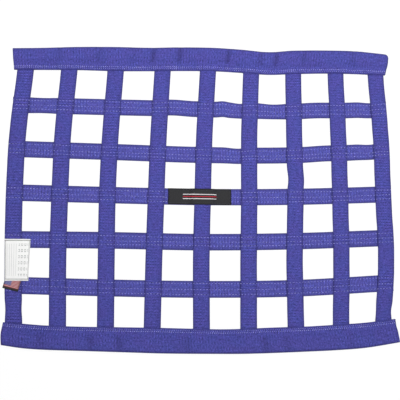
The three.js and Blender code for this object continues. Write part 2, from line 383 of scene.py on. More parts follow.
class Graph:
    """A tree of nodes being made. Each call of node adds one: its type, then its settings,
    then its sockets' values or links."""

    def __init__(self, tree):
        self.tree = tree
        tree.nodes.clear()

    def node(self, kind, settings=(), sockets=(), output=0):
        node = self.tree.nodes.new(kind)
        for name, value in dict(settings).items():
            setattr(node, name, value)
        for key, value in dict(sockets).items():
            if isinstance(value, Socket):
                self.tree.links.new(value.output, node.inputs[key])
            else:
                node.inputs[key].default_value = value
        return Socket(self, node.outputs[output]) if node.outputs else None

    def mix(self, factor, first, second):
        """Two colours mixed by a factor."""
        node = self.node("ShaderNodeMix", {"data_type": "RGBA"}).output.node
        values = {"Factor_Float": factor, "A_Color": first, "B_Color": second}
        for key, value in values.items():
            socket = next(item for item in node.inputs if item.identifier == key)
            if isinstance(value, Socket):
                self.tree.links.new(value.output, socket)
            else:
                socket.default_value = value
        result = next(item for item in node.outputs if item.identifier == "Result_Color")
        return Socket(self, result)

    def scale(self, vector, factor):
        """A colour or a vector times a number."""
        sockets = {0: vector, "Scale": factor}
        return self.node("ShaderNodeVectorMath", {"operation": "SCALE"}, sockets)

    def stretch(self, vector, factors):
        """A vector times another, place by place."""
        return self.node(
            "ShaderNodeVectorMath", {"operation": "MULTIPLY"}, {0: vector, 1: factors}
        )

    def noise(self, vector, scale, detail=2.0):
        sockets = {"Vector": vector, "Scale": scale, "Detail": detail}
        return self.node("ShaderNodeTexNoise", {}, sockets)

    def body_place(self):
        """Where on the net a point is, in metres."""
        return self.node("ShaderNodeTexCoord", {}, {}, "Object")

    def cloth_places(self):
        """How far along and across its cloth a point is, in metres."""
        place = self.node("ShaderNodeUVMap", {"uv_map": "cloth"})
        along = self.node("ShaderNodeSeparateXYZ", {}, {0: place}, "X")
        return place, along, along.beside("Y")

    def shade(self):
        """How light the painted shade leaves the cloth at a point: less than 1 in dents, near its
        edges and beside the pieces that lie on it.
        """
        return self.node("ShaderNodeAttribute", {"attribute_name": "shade"}, {}, "Fac")

    def bump(self, strength, distance, height):
        sockets = {"Strength": strength, "Distance": distance, "Height": height}
        return self.node("ShaderNodeBump", {}, sockets)


def new_finish(name):
    """A new material and the graph of its nodes."""
    material = bpy.data.materials.new(name)
    material.use_nodes = True
    return material, Graph(material.node_tree)


def finish_surface(graph, sockets):
    """The material's one shader, from its sockets' values or links."""
    shader = graph.node("ShaderNodeBsdfPrincipled", {}, sockets)
    graph.node("ShaderNodeOutputMaterial", {}, {"Surface": shader})


# The weave: each yarn floats over two of the crossing yarns and dips under the next two, so that
# its surface is rows of small bricks. Their tones are painted light and shade: the first is the
# painted shade between the bricks, and the second the lighter tone painted on their tops.
YARN = 0.00085
FLOAT_LENGTH = 0.0029
WEAVE_RELIEF = 0.00022
WEAVE_SHADE_TONES = (0.82, 1.07)
RIB_DEPTH = 1.35
# SHADOW_BLUE is the colour that painted shade darkens the cloth towards.
SHADOW_BLUE = (0.034, 0.032, 0.155, 1)

# How many lighter and darker places lie in a metre, and how dark and how light they are: yarns
# that run along the webbing, loose fibres, and wide blotches. DRIFTS is for the drift between
# two blues, and PLAIN_PLACES for where the light dashes fade.
STREAKS = (40.0, 420.0, 1.0)
STREAK_TONES = (0.85, 1.15)
FIBRES = 560.0
FIBRE_TONES = (0.25, 1.75)
BLOTCHES = 14.0
BLOTCH_TONES = (0.94, 1.06)
DRIFTS = 55.0
PLAIN_PLACES = 30.0


def webbing_finish(name, blue, violet, ribs, dash):
    """Dyed polyester webbing, whose colour drifts between two close blues. Uneven yarns show as
    irregular ribs across it, ribs being how many lie in a metre along and across, and the
    floats gather into rows of light dashes, plainer in some places than in others, dash being
    their spacing along and across and how light they are."""
    material, graph = new_finish(name)
    place, along, across = graph.cloth_places()
    yarn = (across / YARN).math("FLOOR")
    float_bulge = (((along / FLOAT_LENGTH + (yarn % 2) * 0.5) % 1) * math.pi).math("SINE")
    yarn_bulge = (((across / YARN) % 1) * math.pi).math("SINE")
    relief = (float_bulge * yarn_bulge).math("SQRT")
    beaten = graph.noise(graph.stretch(place, (*ribs, 1.0)), 1.0)
    streaks = graph.noise(graph.stretch(place, STREAKS), 1.0)
    fibres = graph.noise(place, FIBRES)
    body = graph.body_place()
    blotches = graph.noise(body, BLOTCHES, 1.0)
    drift = graph.noise(body, DRIFTS, 1.0)
    pitch_along, pitch_across, lightness = dash
    courses = (along / pitch_along + drift * 0.5).wave("COSINE")
    columns = (across / pitch_across + drift * 1.6).wave("COSINE")
    plainness = (graph.noise(body, PLAIN_PLACES, 1.0) * 4 - 1.2).math("MAXIMUM", 0.15)
    dashes = courses * (0.5 + 0.5 * columns) * plainness
    factor = (1 + RIB_DEPTH * (beaten - 0.5)) * (1 + lightness * dashes)
    factor = factor * lerp(*STREAK_TONES, streaks) * lerp(*FIBRE_TONES, fibres)
    # Painted shade between the weave's bricks, and a painted lighter tone on their tops.
    factor = factor * lerp(*BLOTCH_TONES, blotches) * lerp(*WEAVE_SHADE_TONES, relief)
    cloth = graph.scale(graph.mix((drift - 0.35) / 0.3, blue, violet), factor)
    # Where the attribute shade paints shade, the cloth's colour goes towards SHADOW_BLUE.
    finish_surface(graph, {
        "Base Color": graph.mix(graph.shade(), SHADOW_BLUE, cloth),
        "Roughness": 0.86 - 0.12 * relief,
        "Normal": graph.bump(0.6, WEAVE_RELIEF, relief),
        "Specular IOR Level": 0.2,
    })
    return material


def place_piece(piece, node, material, flat):
    """Give a piece its finish, hang it under the root and hide the solid that it stands for. Its
    size flat, as it was cut, is not used.
    """
    piece.data.materials.append(material)
    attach(piece, "root")
    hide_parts(node)


cross_lines = [
    strap_line(f"cross_{j}", CROSS_PLACES, row) for j, row in enumerate(CROSSES, start=1)
]
upright_lines = [
    strap_line(f"up_{i}", UPRIGHT_PLACES, row) for i, row in enumerate(UPRIGHTS, start=1)
]
cross_ends = []
cross_pieces = []
for j, line in enumerate(cross_lines):
    left = upright_lines[0](line(CROSS_PLACES[0])) - STRAP_WIDTH / 2
    right = upright_lines[-1](line(CROSS_PLACES[-1])) + STRAP_WIDTH / 2
    stations = cross_stations(j, left, right)
    rings = []
    for x in stations:
        # Painted shade on the cross strap close to the uprights' edges.
        contact = smoothstep(upright_near(x, line(x)), 0, CONTACT_REACH)
        shade = lerp(CONTACT_SHADE, 1, contact)
        point_at = functools.partial(cross_point, j, x)
        rings.append(strap_ring(cross_ring(j, x), point_at, shade))
    cross_ends.append((left, right))
    unrolled = [x + CROSS_CUT * j for x in stations]
    cross_pieces.append(woven_mesh(f"cross_strap_{j + 1}", rings, unrolled))
cross_blue = webbing_finish(
    "cross webbing", (0.083, 0.087, 0.393, 1), (0.088, 0.084, 0.384, 1), STRAP_RIBS, CROSS_DASH
)

# Uprights
# Nine lengths of the same webbing that lie over the cross straps. Each sags a little towards
# the table between two cross straps, and is held down by the three rows of sewing at each
# crossing. Its ends are caught between the two layers of the sleeves.
UPRIGHT_LEVEL = WEBBING + GAP
OVER_LEVEL = 2 * (WEBBING + GAP)
PAST_EDGE = 0.002
UPRIGHT_SAG = 0.0009
SAG_REACH = 0.020
TUCK = 0.009
UPRIGHT_STEP = 0.0008
# An upright has painted shadow just inside a sleeve's seam edge: SLEEVE_SHADOW is how light it
# stays at the edge, and SLEEVE_SHADOW_REACH how far in the shadow fades.
SLEEVE_SHADOW = 0.78
SLEEVE_SHADOW_REACH = 0.0024

# Where a strap's section is set between its selvedges, its light dashes as for the cross
# straps, and where on the roll the first one is cut and how much further on the next ones are.
UPRIGHT_SECTION = [-0.0105, -0.0075, -0.0035, 0, 0.0035, 0.0075, 0.0105]
UPRIGHT_DASH = (0.0045, 0.0040, 0.29)
UPRIGHT_ROLL = 3
UPRIGHT_CUT = 0.41

# The sleeves' edges: a place along them, their seam edge and their fold edge.
TOP_EDGES = [
    (-0.298, 0.1972, 0.2311),
    (-0.254, 0.1980, 0.2327),
    (-0.200, 0.1991, 0.2356),
    (-0.140, 0.1989, 0.2372),
    (-0.085, 0.2001, 0.2373),
    (-0.040, 0.2015, 0.2392),
    (0.015, 0.2024, 0.2399),
    (0.060, 0.2009, 0.2381),
    (0.105, 0.1987, 0.2351),
    (0.145, 0.2009, 0.2386),
    (0.200, 0.2031, 0.2403),
    (0.245, 0.2032, 0.2402),
    (0.280, 0.2024, 0.2376),
    (0.299, 0.2021, 0.2358),
]
BOTTOM_EDGES = [
    (-0.302, -0.1952, -0.2292),
    (-0.270, -0.1976, -0.2338),
    (-0.235, -0.2001, -0.2361),
    (-0.180, -0.2017, -0.2377),
    (-0.120, -0.2023, -0.2395),
    (-0.060, -0.2031, -0.2412),
    (0.020, -0.2048, -0.2417),
    (0.060, -0.2041, -0.2416),
    (0.105, -0.2020, -0.2403),
    (0.160, -0.2001, -0.2380),
    (0.200, -0.1976, -0.2361),
    (0.250, -0.1940, -0.2322),
    (0.302, -0.1874, -0.2239),
]


def edge_line(edges, column):
    """One edge of a sleeve as a smooth line."""
    return smooth_line([row[0] for row in edges], [row[column] for row in edges])


top_seam = edge_line(TOP_EDGES, 1)
bottom_seam = edge_line(BOTTOM_EDGES, 1)


def sag_at(x, y):
    """How much an upright sags at a point: nothing over a cross strap or a sleeve."""
    away = [abs(y - line(x)) - STRAP_WIDTH / 2 for line in cross_lines]
    away += [top_seam(x) - y, y - bottom_seam(x)]
    return UPRIGHT_SAG * smoothstep(min(away), PAST_EDGE, SAG_REACH)


def row_pull_at(x, y):
    """How deep the nearest row of sewing pulls an upright's upper face in."""
    j = min(range(len(cross_lines)), key=lambda k: abs(y - cross_lines[k](x)))
    return groove_at(j, x, y - cross_lines[j](x))


def upright_point(i, y, across, share):
    """A point of upright i: across it towards the left, and a share of its thickness up."""
    middle = upright_lines[i](y)
    narrow = 1 - kink_at(f"up_{i + 1}", y, PINCH) / STRAP_WIDTH
    x = middle - across * narrow
    z = UPRIGHT_LEVEL + WEBBING * share - sag_at(middle, y) - share * row_pull_at(x, y)
    return Vector((x, y, z))


upright_ring = webbing_ring(STRAP_WIDTH + 2 * SELVEDGE_PROUD, UPRIGHT_SECTION)
upright_lengths = []
upright_pieces = []
for i, line in enumerate(upright_lines):
    foot = bottom_seam(line(bottom_seam(0))) - TUCK
    head = top_seam(line(top_seam(0))) + TUCK
    count = round((head - foot) / UPRIGHT_STEP)
    stations = [lerp(foot, head, k / count) for k in range(count + 1)]
    rings = []
    for y in stations:
        x = line(y)
        # Painted shadow where the upright runs in under a sleeve.
        out = min(top_seam(x) - y, y - bottom_seam(x))
        shade = lerp(SLEEVE_SHADOW, 1, smoothstep(out, 0, SLEEVE_SHADOW_REACH))
        point_at = functools.partial(upright_point, i, y)
        rings.append(strap_ring(upright_ring, point_at, shade))
    unrolled = [y + UPRIGHT_CUT * i + UPRIGHT_ROLL for y in stations]
    upright_lengths.append(head - foot)
    upright_pieces.append(woven_mesh(f"upright_{i + 1}", rings, unrolled))
upright_blue = webbing_finish(
    "upright webbing", (0.068, 0.072, 0.352, 1), (0.074, 0.068, 0.342, 1), STRAP_RIBS, UPRIGHT_DASH
)
for i, piece in enumerate(upright_pieces):
    place_piece(
        piece,
        node=f"strap_up_{i + 1}",
        material=upright_blue,
        flat=(STRAP_WIDTH, upright_lengths[i]),
    )

# Sewing along the cross straps
# Three rows of lock stitch run the whole length of each cross strap, through it and through
# every upright that crosses it, in bright polyester thread. The stitches show as short dashes
# on top and again underneath, where they lie in the grooves that they pull into the cloth.
THREAD = 0.00058
PATH_STEP = 0.0007

# The middle of the thread lies this share of its thickness above the groove's foot. A row
# climbs onto an upright from a little outside its edge to a little inside. It stops short of
# the strap's ends, and the rows start at different places, so that their stitches don't line
# up.
THREAD_RISE = 0.16
EDGE_RAMP = (-0.0004, 0.0014)
ROW_END = 0.0008
ROW_START_STEP = 0.0013

# A kind of stitch in six numbers. Slant is how far it turns to one side and the other by turns,
# and Lean how far it turns to one side only, both in degrees. Hole is the length of the dark bead
# that stands for the shade in a needle hole.
STITCH_SIZES = ("Pitch", "Length", "Thread", "Slant", "Lean", "Hole")
CROSS_STITCH = (0.0049, 0.0033, THREAD, 6, 0, 0.0009)

# Every stitch is a bead of a few faces, and its length and slant waver between these shares. The
# shade in a needle hole is painted as a flatter, dark bead with fewer rings.
BEAD_SIDES = 6
BEAD_RINGS = 4
HOLE_RINGS = 3
HOLE_HEIGHT = 0.6
WAVER = {2: 0.8, 3: 1.2, "Seed": 7}


def thread_finish(name, colour, dark):
    """Twisted sewing thread, a little uneven in tone. It also colours the dark beads that stand
    for painted shade in the needle holes.
    """
    material, graph = new_finish(name)
    body = graph.body_place()
    tone = graph.noise(body, 160.0, 1.0)
    strands = graph.noise(body, 2600.0, 1.0)
    finish_surface(graph, {
        "Base Color": graph.mix((tone - 0.3) / 0.4, dark, colour),
        "Roughness": 0.45 + 0.2 * strands,
        "Normal": graph.bump(0.5, 0.0001, strands),
    })
    return material


def stitch_tree():
    """Geometry nodes that lay one bead of thread after another along the rows they are given, with
    a flat dark bead between every two, which paints the shade in a needle hole."""
    tree = bpy.data.node_groups.new("stitches", "GeometryNodeTree")
    graph = Graph(tree)
    tree.interface.new_socket("Rows", in_out="INPUT", socket_type="NodeSocketGeometry")
    for name in STITCH_SIZES:
        tree.interface.new_socket(name, in_out="INPUT", socket_type="NodeSocketFloat")
    for name in ("Thread Finish", "Hole Shade Finish"):
        tree.interface.new_socket(name, in_out="INPUT", socket_type="NodeSocketMaterial")
    tree.interface.new_socket("Stitches", in_out="OUTPUT", socket_type="NodeSocketGeometry")
    rows = graph.node("NodeGroupInput", {}, {}, "Rows")
    curve = graph.node("GeometryNodeMeshToCurve", {}, {"Mesh": rows})
    spaced = {"Curve": curve, "Length": rows.beside("Pitch") * 0.5}
    places = graph.node("GeometryNodeCurveToPoints", {"mode": "LENGTH"}, spaced)
    heading = {"Vector": places.beside("Tangent")}
    turned = graph.node(
        "FunctionNodeAlignRotationToVector", {"axis": "X", "pivot_axis": "Z"}, heading
    )
    heading["Rotation"] = turned
    tipped = graph.node(
        "FunctionNodeAlignRotationToVector", {"axis": "X", "pivot_axis": "Y"}, heading
    )
    number = graph.node("GeometryNodeInputIndex")
    side = ((number * 0.5).math("FLOOR") % 2) * 2 - 1
    waver = graph.node("FunctionNodeRandomValue", {"data_type": "FLOAT"}, WAVER, 1)
    angle = (side * rows.beside("Slant") + rows.beside("Lean")) * waver
    slant = graph.node("ShaderNodeCombineXYZ", {}, {"Z": angle})
    turn = graph.node("FunctionNodeEulerToRotation", {}, {0: slant})
    slanted = graph.node(
        "FunctionNodeRotateRotation",
        {"rotation_space": "LOCAL"},
        {"Rotation": tipped, "Rotate By": turn},
    )
    thread = rows.beside("Thread")
    kinds = [
        (1 - number % 2, BEAD_RINGS, rows.beside("Length"), thread, "Thread Finish"),
        (number % 2, HOLE_RINGS, rows.beside("Hole"), thread * HOLE_HEIGHT, "Hole Shade Finish"),
    ]
    sewing = graph.node("GeometryNodeJoinGeometry")
    for chosen, rings, length, height, finish in kinds:
        bead = graph.node(
            "GeometryNodeMeshUVSphere", {}, {"Segments": BEAD_SIDES, "Rings": rings, "Radius": 0.5}
        )
        size = graph.node("ShaderNodeCombineXYZ", {}, {"X": length, "Y": thread, "Z": height})
        laid = graph.node("GeometryNodeInstanceOnPoints", {}, {
            "Points": places,
            "Selection": chosen,
            "Instance": graph.node("GeometryNodeTransform", {}, {"Geometry": bead, "Scale": size}),
            "Rotation": slanted,
            "Scale": graph.node("ShaderNodeCombineXYZ", {}, {"X": waver, "Y": 1.0, "Z": 1.0}),
        })
        whole = graph.node("GeometryNodeRealizeInstances", {}, {"Geometry": laid})
        smooth = graph.node("GeometryNodeSetShadeSmooth", {}, {"Geometry": whole})
        coloured = {"Geometry": smooth, "Material": rows.beside(finish)}
        part = graph.node("GeometryNodeSetMaterial", {}, coloured)
        tree.links.new(part.output, sewing.output.node.inputs[0])
    graph.node("NodeGroupOutput", {}, {"Stitches": sewing})
    return tree


def sew(name, rows, thread, stitch):
    """One piece of sewing: a stitch at every pitch along each row, a row being its points."""
    points = [point + NET_MIDDLE for row in rows for point in row]
    edges = []
    start = 0
    for row in rows:
        edges += [(k, k + 1) for k in range(start, start + len(row) - 1)]
        start += len(row)
    mesh = bpy.data.meshes.new(name)
    mesh.from_pydata(points, edges, [])
    piece = add_object(name, mesh)
    modifier = piece.modifiers.new("stitches", "NODES")
    modifier.node_group = stitches
    values = dict(zip(STITCH_SIZES, stitch))
    values["Slant"] = math.radians(values["Slant"])
    values["Lean"] = math.radians(values["Lean"])
    values["Thread Finish"] = thread
    values["Hole Shade Finish"] = hole_shade_finish
    for item in stitches.interface.items_tree:
        if item.name in values:
            modifier[item.identifier] = values[item.name]
    evaluated = piece.evaluated_get(bpy.context.evaluated_depsgraph_get())
    piece.data = bpy.data.meshes.new_from_object(evaluated)
    piece.modifiers.clear()
    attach(piece, "root")
    return piece


def upper_row(j, n, x):
    """A point of sewing row n on top: on the upright where there is one, else on the strap."""
    low = cross_point(j, x, row_at(j, n, x), 1)
    crossing = 1 - smoothstep(upright_near(x, low.y), *EDGE_RAMP)
    high = UPRIGHT_LEVEL + WEBBING - GROOVE
    return Vector((x, low.y, lerp(low.z, high + THREAD * THREAD_RISE, crossing)))


def lower_row(j, n, x):
    """A point of sewing row n underneath, with the thread flush with the strap's underside."""
    return cross_point(j, x, row_at(j, n, x), 0) + Vector((0, 0, THREAD / 2 - GROOVE))


stitches = stitch_tree()
# The needle holes' shade, painted as dark beads.
hole_shade_finish = thread_finish("needle hole", (0.020, 0.018, 0.130, 1), (0.010, 0.009, 0.075, 1))
bright_thread = thread_finish("bright thread", (0.55, 0.55, 0.98, 1), (0.20, 0.20, 0.70, 1))
for j, piece in enumerate(cross_pieces):
    left, right = cross_ends[j]
    count = round((right - left) / PATH_STEP)
    rows = []
    for n in range(3):
        start = left + ROW_END + ROW_START_STEP * ((j + 2 * n) % 3)
        places = [lerp(start, right - ROW_END, k / count) for k in range(count + 1)]
        rows.append([upper_row(j, n, x) for x in places])
        rows.append([lower_row(j, n, x) for x in places])
    sewing = sew(f"cross_sewing_{j + 1}", rows, bright_thread, CROSS_STITCH)
    place_piece(
        piece,
        node=f"strap_cross_{j + 1}",
        material=cross_blue,
        flat=(STRAP_WIDTH, right - left),
    )

# Sleeves
# Along the top and the bottom a webbing three inches wide is folded in half, fold outwards, and
# sewn along its inner edge over the uprights' ends with two rows of slanted stitches. The rod
# slides through the fold. Between two uprights the upper layer drops towards the lower one,
# and the crown has a few soft dents.
SLEEVE_WIDTH = 0.038
FOLD_HEIGHT = 0.008
RISE_FROM = 0.010
RISE_TO = 0.021
SEAM_DROP = 0.0015
DROP_REACH = 0.008
SLEEVE_STEP = 0.0015
SLEEVE_ROLL = 9.0
SLEEVE_RIBS = (430.0, 240.0)
SLEEVE_DASH = (0.0044, 0.008, 0.19)
# Shade is painted in three places. Round the fold's outer edge it fades out between the two
# distances of FOLD_RIM from the fold's middle. At the cut ends CUT_END_RIM shifts it towards the
# end. At the seam edge SEAM_EDGE_SHADE is how light it stays.
FOLD_RIM = (0.0026, 0.0050)
CUT_END_RIM = 0.0003
SEAM_EDGE_SHADE = 0.60
SEAM_PRESS = 0.00022
PUCKER = 0.00014
PUCKER_WAVES = (0.0019, 0.0031)
PUCKER_REACH = 0.0045

# The two rows of each sleeve's seam: how far in from the seam edge, and their stitches. On the
# upper side they lie a little proud of the cloth, and underneath they are flush with it.
SEAM_ROWS = [0.0057, 0.0028]
SEAM_STITCHES = [
    (0.0033, 0.0029, 0.00075, 0, 35, 0.0008),
    (0.0033, 0.0022, 0.0005, 0, -35, 0.0006),
]
SEAM_END = 0.001
SEAM_PROUD = 0.00006
SEAM_FLUSH = 0.00030

# Where the cloth's section is set, in from the seam edge: close together at the two rows, wide
# over the flat, and close again round the fold.
SEAM_SECTION = [0.0014, 0.0021, 0.0028, 0.0035, 0.0043, 0.0050, 0.0057, 0.0064, 0.0072, 0.0085]
FLAT_FROM = 0.0105
FLAT_STEP = 0.0022
FLAT_PLACES = 10
FOLD_FROM = 0.0070
FOLD_STEP = 0.0009
FOLD_PLACES = 8
CORNER_STEPS = (0.7, 0.45, 0.25, 0.12, 0.04, 0)

# How finely the folded cloth's middle line is worked out: a step of its flats, and the steps
# round its fold.
SECTION_STEP = 0.001
FOLD_TURNS = 16

# Dents in the crown: they slant a little, fade towards the seam and get shallower at the fold.
# Shade is painted in them, and each metre of depth would darken the cloth this many times.
DENT_SLANT = 0.15
DENT_FROM = (0.008, 0.018)
DENT_FOLD = (0.030, 0.038)
DENT_SHADE = 470

# Each end is cut at a slant: where it is at the seam, halfway and at the fold. The dents say
# where along the sleeve, how deep and how wide they are, and sewn_deep is how far the seam's
# thread has sunk into the cloth.
SLEEVES = [
    {
        "name": "top_sleeve",
        "node": "sleeve_top",
        "outward": 1,
        "edges": TOP_EDGES,
        "left_end": (-0.2960, -0.2976, -0.2989),
        "right_end": (0.2939, 0.2972, 0.2990),
        "corner": 0.005,
        "sewn_deep": 0,
        "dents": [
            (-0.230, 0.0005, 0.004),
            (-0.168, 0.0006, 0.004),
            (-0.113, 0.0004, 0.005),
            (-0.083, 0.0013, 0.0038),
            (-0.041, 0.0013, 0.0038),
            (0.036, 0.0014, 0.0036),
            (0.088, 0.0008, 0.005),
            (0.113, 0.0013, 0.0038),
            (0.158, 0.0008, 0.0045),
            (0.237, 0.0006, 0.0045),
        ],
    },
    {
        "name": "bottom_sleeve",
        "node": "sleeve_bottom",
        "outward": -1,
        "edges": BOTTOM_EDGES,
        "left_end": (-0.3003, -0.3028, -0.3021),
        "right_end": (0.2975, 0.2998, 0.3030),
        "corner": 0,
        "sewn_deep": 0.00006,
        "dents": [
            (-0.248, 0.0006, 0.006),
            (-0.173, 0.0008, 0.006),
            (-0.131, 0.0010, 0.005),
            (-0.028, 0.0006, 0.007),
            (0.091, 0.0008, 0.006),
            (0.124, 0.0006, 0.005),
            (0.223, 0.0004, 0.006),
        ],
    },
]


def sleeve_section():
    """The middle of the folded cloth in section, from its lower edge round to its upper one."""
    radius = (FOLD_HEIGHT - WEBBING) / 2
    centre = SLEEVE_WIDTH - FOLD_HEIGHT / 2
    steps = round(centre / SECTION_STEP)
    path = [Vector((centre * i / steps, WEBBING / 2)) for i in range(steps)]
    for i in range(FOLD_TURNS + 1):
        angle = math.pi * (i / FOLD_TURNS - 0.5)
        height = FOLD_HEIGHT / 2 + radius * math.sin(angle)
        path.append(Vector((centre + radius * math.cos(angle), height)))
    seam = OVER_LEVEL + WEBBING / 2
    rise = FOLD_HEIGHT - WEBBING / 2 - seam
    for i in range(1, steps + 1):
        out = centre * (1 - i / steps)
        path.append(Vector((out, seam + rise * smoothstep(out, RISE_FROM, RISE_TO))))
    return path


section = sleeve_section()
section_lengths = [0.0]
for before, after in zip(section, section[1:]):
    section_lengths.append(section_lengths[-1] + (after - before).length)
section_normals = []
for i in range(len(section)):
    run = section[min(i + 1, len(section) - 1)] - section[max(i - 1, 0)]
    section_normals.append(Vector((run.y, -run.x)).normalized())
SLEEVE_CLOTH = section_lengths[-1]


def section_at(length):
    """The cloth's middle and its outward direction, at a length round the fold."""
    i = min(max(bisect.bisect_left(section_lengths, length) - 1, 0), len(section) - 2)
    t = (length - section_lengths[i]) / (section_lengths[i + 1] - section_lengths[i])
    return section[i].lerp(section[i + 1], t), section_normals[i].lerp(section_normals[i + 1], t)


def seam_drop_at(seam, x, out):
    """How far the upper layer sinks at a point: most halfway between two uprights."""
    nearest = min(abs(x - line(seam(x))) for line in upright_lines)
    edge = STRAP_WIDTH / 2 + PAST_EDGE
    sunk = smoothstep(nearest, edge, edge + DROP_REACH)
    return SEAM_DROP * sunk * (1 - smoothstep(out, RISE_FROM, RISE_TO))


def dent_at(sleeve, x, out):
    """How far the sleeve's crown is dented at a point."""
    depth = 0
    for at, deep, reach in sleeve["dents"]:
        depth += deep * math.exp(-(((x - at - DENT_SLANT * out) / reach) ** 2))
    return depth * smoothstep(out, *DENT_FROM) * (1 - 0.5 * smoothstep(out, *DENT_FOLD))


def sleeve_shape(sleeve):
    """A function that gives a point of a sleeve, from its place along the sleeve, its place
    across the cloth from the fold, and its share of the cloth's thickness."""
    outward = sleeve["outward"]
    seam = edge_line(sleeve["edges"], 1)
    fold = edge_line(sleeve["edges"], 2)
    left, right = sleeve["left_end"], sleeve["right_end"]
    corner = sleeve["corner"]
    left_slant = smooth_line([0, 0.5, 1], [place - left[0] for place in left])
    right_slant = smooth_line([0, 0.5, 1], [place - right[0] for place in right])

    def point_at(station, across, share):
        middle, outside = section_at(across + SLEEVE_CLOTH / 2)
        middle = middle + outside * (share - 0.5) * WEBBING
        reach = middle.x / SLEEVE_WIDTH
        along = (station - left[0]) / (right[0] - left[0])
        x = station + lerp(left_slant(reach), right_slant(reach), along)
        into = corner - (right[0] - station)
        cut = corner - math.sqrt(corner**2 - into**2) if into > 0 else 0
        y = lerp(seam(x), fold(x) - outward * cut, reach)
        to_edge = SLEEVE_CLOTH / 2 - abs(across)
        to_row = min(abs(to_edge - row) for row in SEAM_ROWS)
        press = SEAM_PRESS * math.exp(-((to_row / GROOVE_REACH) ** 2))
        z = middle.y
        if across > 0:
            pucker = math.sin(x / PUCKER_WAVES[0]) + math.sin(x / PUCKER_WAVES[1] + 1.3)
            near_seam = math.exp(-(((to_edge - SEAM_ROWS[0]) / PUCKER_REACH) ** 2))
            z -= seam_drop_at(seam, x, middle.x) + dent_at(sleeve, x, middle.x)
            z += PUCKER * pucker * near_seam * share - press * share
        else:
            z += press * share
        return Vector((x, y, z))

    return point_at


sleeve_blue = webbing_finish(
    "sleeve webbing", (0.070, 0.0745, 0.358, 1), (0.0765, 0.0715, 0.352, 1), SLEEVE_RIBS,
    SLEEVE_DASH,
)
half_cloth = SLEEVE_CLOTH / 2
inner_places = SEAM_SECTION + [FLAT_FROM + FLAT_STEP * k for k in range(FLAT_PLACES)]
inner_places += [half_cloth - FOLD_FROM + FOLD_STEP * k for k in range(FOLD_PLACES)]
sleeve_places = [half_cloth - place for place in inner_places]
sleeve_places += [-place for place in sleeve_places] + [0.0]
sleeve_ring = webbing_ring(SLEEVE_CLOTH + 2 * SELVEDGE_PROUD, sleeve_places)
for sleeve in SLEEVES:
    point_at = sleeve_shape(sleeve)
    left, right = sleeve["left_end"][0], sleeve["right_end"][0]
    corner = sleeve["corner"]
    count = round((right - left - corner) / SLEEVE_STEP)
    stations = [lerp(left, right - corner, i / count) for i in range(count + 1)]
    stations += [right - corner * share for share in CORNER_STEPS if corner]
    order = stations if sleeve["outward"] < 0 else list(reversed(stations))
    rings = []
    for station in order:
        # Painted shade at the cut ends, at the seam edges, round the fold and in the dents.
        end_shade = rim_shade(min(station - left, right - station) + CUT_END_RIM)
        ring = []
        for across, share in sleeve_ring:
            point = point_at(station, across, share)
            edge_shade = rim_shade(half_cloth - abs(across), SEAM_EDGE_SHADE)
            fold_shade = lerp(RIM_SHADE, 1, smoothstep(abs(across), *FOLD_RIM))
            out = section_at(across + half_cloth)[0].x
            painted_dent_shade = 1 - DENT_SHADE * dent_at(sleeve, point.x, out) if across > 0 else 1
            ring.append((point, across, min(edge_shade, fold_shade, end_shade) * painted_dent_shade))
        rings.append(ring)
    unrolled = [station + SLEEVE_ROLL for station in order]
    piece = woven_mesh(sleeve["name"], rings, unrolled)
    steps = round((right - left) / PATH_STEP)
    places = [lerp(left + SEAM_END, right - SEAM_END, k / steps) for k in range(steps + 1)]
    raised = Vector((0, 0, SEAM_PROUD - sleeve["sewn_deep"]))
    flush = Vector((0, 0, SEAM_FLUSH))
    sewing = []
    for n, (inset, stitch) in enumerate(zip(SEAM_ROWS, SEAM_STITCHES), start=1):
        across = half_cloth - inset
        rows = [
            [point_at(place, across, 1) + raised for place in places],
            [point_at(place, -across, 1) + flush for place in places],
        ]
        name = f"{sleeve['name']}_sewing_{n}"
        sewing.append(sew(name, rows, bright_thread, stitch))
    place_piece(
        piece,
        node=sleeve["node"],
        material=sleeve_blue,
        flat=(SLEEVE_CLOTH, right - left),
    )

# Patch
# A black label, woven from fine yarn with its edges turned under, sewn over the middle crossing
# all round its edge. It rides over the upright and comes down to the cross strap on both sides.
# Three plain woven lines run along its middle.
LABEL_CLOTH = 0.001
PATCH = {"width": 0.098, "length": 0.0252, "x": -0.0052, "y": -0.0005, "turn": -0.3}
PATCH_REACH = 0.010
MIDDLE_UPRIGHT = 4
WHITE_YARN = (0.8, 0.776, 0.796, 1)
RED_YARN = (0.55, 0.0, 0.02, 1)
PATCH_LINES = [(0.0034, WHITE_YARN), (0.0, RED_YARN), (-0.0034, WHITE_YARN)]
LINE_LENGTH = 0.052
LINE_WIDTH = 0.0011
LABEL_STEP = 0.001
LABEL_RIM = 0.0004
LABEL_EDGE = 0.0014
LABEL_HEM = 0.0024
PATCH_STITCH_LIFT = 0.00008
LABEL_STITCH = (0.0026, 0.0018, 0.0005, 6, 0, 0.0006)
TWILL = 0.0007
PATCH_YARN = 0.0005


def patch_level(x, y):
    """The height of the patch's underside."""
    off_upright = abs(x - upright_lines[MIDDLE_UPRIGHT](y)) - STRAP_WIDTH / 2
    return lerp(OVER_LEVEL, UPRIGHT_LEVEL, smoothstep(off_upright, PAST_EDGE, PATCH_REACH))


def label_shape(label, level):
    """A function that gives a point of a label, from its places along and across it. The
    taper is how much wider it grows for each metre upwards."""
    turn = math.radians(label["turn"])
    taper = label.get("taper", 0)

    def point_at(along, across, share):
        along *= 1 + taper * across
        x = label["x"] + along * math.cos(turn) - across * math.sin(turn)
        y = label["y"] + along * math.sin(turn) + across * math.cos(turn)
        return Vector((x, y, level(x, y) + LABEL_CLOTH * share))

    return point_at


